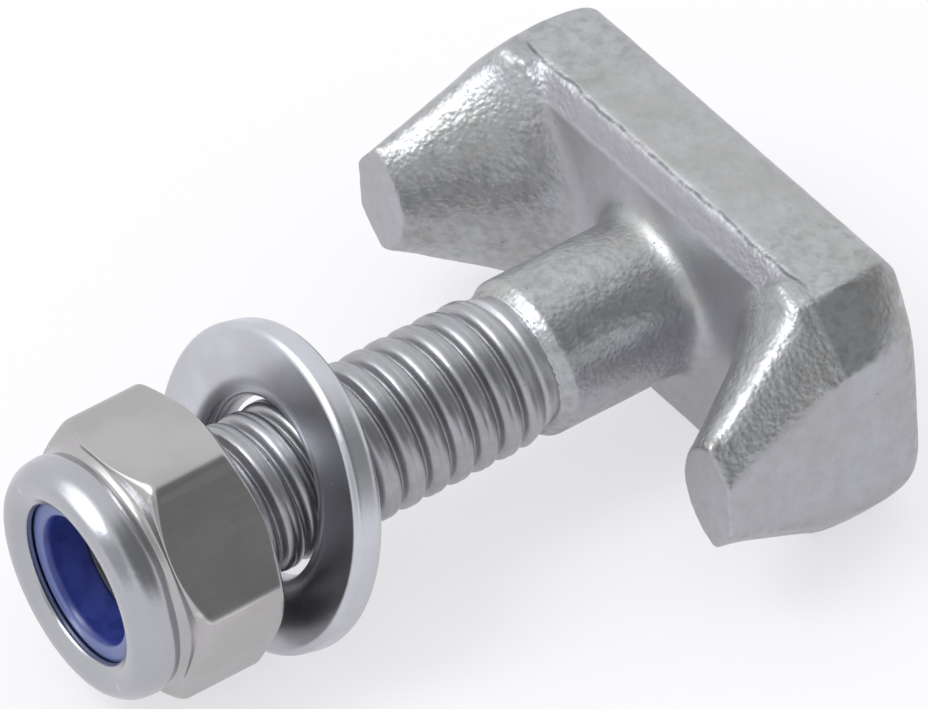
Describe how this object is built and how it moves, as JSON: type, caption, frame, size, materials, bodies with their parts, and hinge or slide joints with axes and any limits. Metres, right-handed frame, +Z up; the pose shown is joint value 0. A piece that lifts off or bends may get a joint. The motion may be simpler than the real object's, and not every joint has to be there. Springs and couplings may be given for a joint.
{
  "type": "battery terminal bolt",
  "caption": "Forged T-head battery terminal bolt with tapered horns, plain shank and rolled thread, carrying a loose flat washer and a nylon insert lock nut.",
  "frame": {"origin": "on the bolt's axis, on the face of the head that clamps, at the foot of the shank", "axes": "+Y along the bolt's axis from the nut towards the head, X along the head's bar, +Z up as the bolt lies on its side"},
  "size_m": [0.031, 0.0401, 0.016],
  "materials": {
    "forged_steel": "bright plated over a fine forged grain",
    "plated_steel": "smooth bright plating",
    "blue_nylon": "smooth blue nylon"
  },
  "bodies": {
    "bolt": {"terminal_bolt": "forged_steel"},
    "washer": {"flat_washer": "plated_steel"},
    "insert": {"nylon_insert": "blue_nylon"},
    "nut": {"lock_nut": "plated_steel"}
  },
  "joints": [
    {"name": "washer_slide", "type": "slide", "parent": "bolt", "child": "washer", "axis": [0, 1, 0], "range_m": [0, 0.0122]},
    {"name": "nut_travel", "type": "slide", "parent": "bolt", "child": "insert", "axis": [0, 1, 0], "range_m": [-0.0038, 0.0004]},
    {"name": "nut_turn", "type": "hinge", "parent": "insert", "child": "nut", "pos_m": [0, -0.03, 0], "axis": [0, 1, 0], "range_deg": [-960, 100]}
  ],
  "couplings": [
    {"joint": "nut_travel", "follows": "nut_turn", "m_per_rad": 0.00022457}
  ]
}
